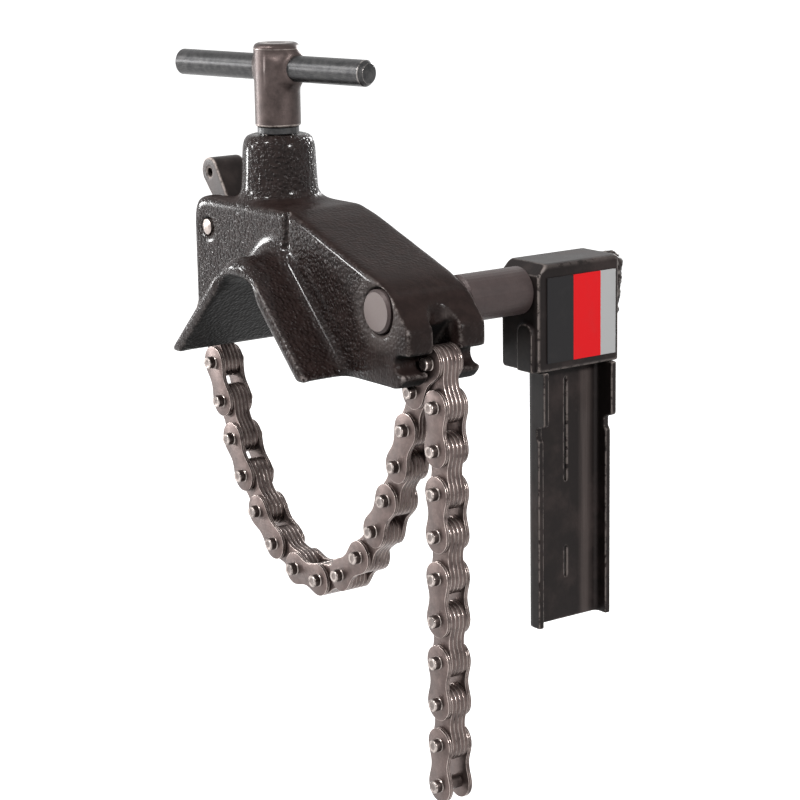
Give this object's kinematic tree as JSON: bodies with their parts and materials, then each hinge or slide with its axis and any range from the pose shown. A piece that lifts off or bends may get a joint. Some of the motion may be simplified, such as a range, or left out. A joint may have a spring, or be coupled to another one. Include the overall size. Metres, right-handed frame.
{
  "type": "chain pipe clamp",
  "caption": "Chain pipe clamp: cast V saddle, tee screw that tightens a leaf chain through a lever, and a swinging slotted arm that guides a saw.",
  "frame": {"origin": "middle of the flat at the top of the V saddle, in the chain's plane", "axes": "+Z away from the pipe along the tee screw, +X towards the chain hook, +Y towards the saw arm"},
  "size_m": [0.1654, 0.1301, 0.2724],
  "materials": {
    "hammer_paint": "glossy hammered black",
    "satin_black": "satin",
    "warm_steel": "turned",
    "phosphated_steel": "phosphated",
    "bright_steel": "bright",
    "chain_steel": "oiled",
    "label_print": "printed bands without text"
  },
  "bodies": {
    "clamp_frame": {"clamp_body": "hammer_paint", "lever_pivot_pin": "bright_steel"},
    "screw_collar": {"thrust_washer": "bright_steel"},
    "tee_screw": {"clamp_screw": "warm_steel", "tee_bar": "phosphated_steel"},
    "lever": {"tension_lever": "satin_black", "chain_anchor_pin": "bright_steel"},
    "saw_arm": {"swing_shaft": "warm_steel", "head_block": "satin_black", "weld_bead": "phosphated_steel", "saw_channel": "satin_black", "label_plate": "label_print"},
    "loop_01": {"loop_link_01": "chain_steel"},
    "loop_02": {"loop_link_02": "chain_steel"},
    "loop_03": {"loop_link_03": "chain_steel"},
    "loop_04": {"loop_link_04": "chain_steel"},
    "loop_05": {"loop_link_05": "chain_steel"},
    "loop_06": {"loop_link_06": "chain_steel"},
    "loop_07": {"loop_link_07": "chain_steel"},
    "loop_08": {"loop_link_08": "chain_steel"},
    "loop_09": {"loop_link_09": "chain_steel"},
    "loop_10": {"loop_link_10": "chain_steel"},
    "loop_11": {"loop_link_11": "chain_steel"},
    "loop_12": {"loop_link_12": "chain_steel"},
    "loop_13": {"loop_link_13": "chain_steel"},
    "loop_14": {"loop_link_14": "chain_steel"},
    "loop_15": {"loop_link_15": "chain_steel"},
    "loop_16": {"loop_link_16": "chain_steel"},
    "tail_01": {"tail_link_01": "chain_steel"},
    "tail_02": {"tail_link_02": "chain_steel"},
    "tail_03": {"tail_link_03": "chain_steel"},
    "tail_04": {"tail_link_04": "chain_steel"},
    "tail_05": {"tail_link_05": "chain_steel"},
    "tail_06": {"tail_link_06": "chain_steel"},
    "tail_07": {"tail_link_07": "chain_steel"},
    "tail_08": {"tail_link_08": "chain_steel"},
    "tail_09": {"tail_link_09": "chain_steel"},
    "tail_10": {"tail_link_10": "chain_steel"}
  },
  "joints": [
    {"name": "screw_travel", "type": "slide", "parent": "clamp_frame", "child": "screw_collar", "axis": [0, 0, 1], "range_m": [0, 0.00876]},
    {"name": "screw_turn", "type": "hinge", "parent": "screw_collar", "child": "tee_screw", "pos_m": [-0.023, 0, 0.06], "axis": [0, 0, 1], "range_deg": [0, 1800]},
    {"name": "lever_tilt", "type": "hinge", "parent": "clamp_frame", "child": "lever", "pos_m": [-0.0487, 0, 0.0125], "axis": [0, -1, 0], "range_deg": [0, 19.1]},
    {"name": "arm_swing", "type": "hinge", "parent": "clamp_frame", "child": "saw_arm", "pos_m": [0.064, 0, -0.005], "axis": [0, 1, 0], "continuous": true},
    {"name": "loop_joint_01", "type": "hinge", "parent": "clamp_frame", "child": "loop_01", "pos_m": [0.0777, 0, -0.0234], "axis": [0, -1, 0], "range_deg": [0, 1.9]},
    {"name": "loop_joint_02", "type": "hinge", "parent": "loop_01", "child": "loop_02", "pos_m": [0.0675, 0, -0.03556], "axis": [0, -1, 0], "range_deg": [0, 9.2]},
    {"name": "loop_joint_03", "type": "hinge", "parent": "loop_02", "child": "loop_03", "pos_m": [0.06239, 0, -0.05059], "axis": [0, -1, 0], "range_deg": [0, 4]},
    {"name": "loop_joint_04", "type": "hinge", "parent": "loop_03", "child": "loop_04", "pos_m": [0.05651, 0, -0.06534], "axis": [0, -1, 0], "range_deg": [0, 0.5]},
    {"name": "loop_joint_05", "type": "hinge", "parent": "loop_04", "child": "loop_05", "pos_m": [0.04964, 0, -0.07965], "axis": [0, -1, 0], "range_deg": [-3.2, 0]},
    {"name": "loop_joint_06", "type": "hinge", "parent": "loop_05", "child": "loop_06", "pos_m": [0.04142, 0, -0.09323], "axis": [0, -1, 0], "range_deg": [-4.8, 0]},
    {"name": "loop_joint_07", "type": "hinge", "parent": "loop_06", "child": "loop_07", "pos_m": [0.03137, 0, -0.10552], "axis": [0, -1, 0], "range_deg": [-4, 0]},
    {"name": "loop_joint_08", "type": "hinge", "parent": "loop_07", "child": "loop_08", "pos_m": [0.01894, 0, -0.11539], "axis": [0, -1, 0], "range_deg": [-2.7, 0]},
    {"name": "loop_joint_17", "type": "hinge", "parent": "lever", "child": "loop_16", "pos_m": [-0.072, 0, -0.031], "axis": [0, -1, 0], "range_deg": [-15.3, 0]},
    {"name": "loop_joint_16", "type": "hinge", "parent": "loop_16", "child": "loop_15", "pos_m": [-0.06708, 0, -0.04609], "axis": [0, -1, 0], "range_deg": [-0.6, 0]},
    {"name": "loop_joint_15", "type": "hinge", "parent": "loop_15", "child": "loop_14", "pos_m": [-0.06146, 0, -0.06094], "axis": [0, -1, 0], "range_deg": [-1, 0]},
    {"name": "loop_joint_14", "type": "hinge", "parent": "loop_14", "child": "loop_13", "pos_m": [-0.05492, 0, -0.0754], "axis": [0, -1, 0], "range_deg": [-1.5, 0]},
    {"name": "loop_joint_13", "type": "hinge", "parent": "loop_13", "child": "loop_12", "pos_m": [-0.04715, 0, -0.08925], "axis": [0, -1, 0], "range_deg": [-2.1, 0]},
    {"name": "loop_joint_12", "type": "hinge", "parent": "loop_12", "child": "loop_11", "pos_m": [-0.03771, 0, -0.10201], "axis": [0, -1, 0], "range_deg": [-2.5, 0]},
    {"name": "loop_joint_11", "type": "hinge", "parent": "loop_11", "child": "loop_10", "pos_m": [-0.02605, 0, -0.11278], "axis": [0, -1, 0], "range_deg": [-1.4, 0]},
    {"name": "loop_joint_10", "type": "hinge", "parent": "loop_10", "child": "loop_09", "pos_m": [-0.01181, 0, -0.11981], "axis": [0, -1, 0], "range_deg": [0, 2.3]},
    {"name": "tail_joint_01", "type": "hinge", "parent": "clamp_frame", "child": "tail_01", "pos_m": [0.0777, 0, -0.0234], "axis": [0, -1, 0], "range_deg": [0, 80]},
    {"name": "tail_joint_02", "type": "hinge", "parent": "tail_01", "child": "tail_02", "pos_m": [0.08046, 0, -0.03903], "axis": [0, -1, 0], "range_deg": [-10, 25]},
    {"name": "tail_joint_03", "type": "hinge", "parent": "tail_02", "child": "tail_03", "pos_m": [0.08046, 0, -0.05491], "axis": [0, -1, 0], "range_deg": [-3, 25]},
    {"name": "tail_joint_04", "type": "hinge", "parent": "tail_03", "child": "tail_04", "pos_m": [0.08046, 0, -0.07078], "axis": [0, -1, 0], "range_deg": [-3, 25]},
    {"name": "tail_joint_05", "type": "hinge", "parent": "tail_04", "child": "tail_05", "pos_m": [0.08046, 0, -0.08666], "axis": [0, -1, 0], "range_deg": [-3, 25]},
    {"name": "tail_joint_06", "type": "hinge", "parent": "tail_05", "child": "tail_06", "pos_m": [0.08046, 0, -0.10253], "axis": [0, -1, 0], "range_deg": [-3, 25]},
    {"name": "tail_joint_07", "type": "hinge", "parent": "tail_06", "child": "tail_07", "pos_m": [0.08046, 0, -0.11841], "axis": [0, -1, 0], "range_deg": [-3, 25]},
    {"name": "tail_joint_08", "type": "hinge", "parent": "tail_07", "child": "tail_08", "pos_m": [0.08046, 0, -0.13428], "axis": [0, -1, 0], "range_deg": [-3, 25]},
    {"name": "tail_joint_09", "type": "hinge", "parent": "tail_08", "child": "tail_09", "pos_m": [0.08046, 0, -0.15016], "axis": [0, -1, 0], "range_deg": [-3, 25]},
    {"name": "tail_joint_10", "type": "hinge", "parent": "tail_09", "child": "tail_10", "pos_m": [0.08046, 0, -0.16603], "axis": [0, -1, 0], "range_deg": [-3, 25]}
  ],
  "couplings": [
    {"joint": "screw_travel", "follows": "screw_turn", "m_per_rad": 0.00027852},
    {"joint": "lever_tilt", "follows": "screw_turn", "ratio": 0.010555},
    {"joint": "loop_joint_01", "follows": "screw_turn", "ratio": 0.00098518},
    {"joint": "loop_joint_02", "follows": "screw_turn", "ratio": 0.0050529},
    {"joint": "loop_joint_03", "follows": "screw_turn", "ratio": 0.0021707},
    {"joint": "loop_joint_04", "follows": "screw_turn", "ratio": 0.0002053},
    {"joint": "loop_joint_05", "follows": "screw_turn", "ratio": -0.0017327},
    {"joint": "loop_joint_06", "follows": "screw_turn", "ratio": -0.0026131},
    {"joint": "loop_joint_07", "follows": "screw_turn", "ratio": -0.0021591},
    {"joint": "loop_joint_08", "follows": "screw_turn", "ratio": -0.0014278},
    {"joint": "loop_joint_17", "follows": "screw_turn", "ratio": -0.0084361},
    {"joint": "loop_joint_16", "follows": "screw_turn", "ratio": -0.00029323},
    {"joint": "loop_joint_15", "follows": "screw_turn", "ratio": -0.00047932},
    {"joint": "loop_joint_14", "follows": "screw_turn", "ratio": -0.00075229},
    {"joint": "loop_joint_13", "follows": "screw_turn", "ratio": -0.0011009},
    {"joint": "loop_joint_12", "follows": "screw_turn", "ratio": -0.001326},
    {"joint": "loop_joint_11", "follows": "screw_turn", "ratio": -0.00072111},
    {"joint": "loop_joint_10", "follows": "screw_turn", "ratio": 0.0011971}
  ]
}
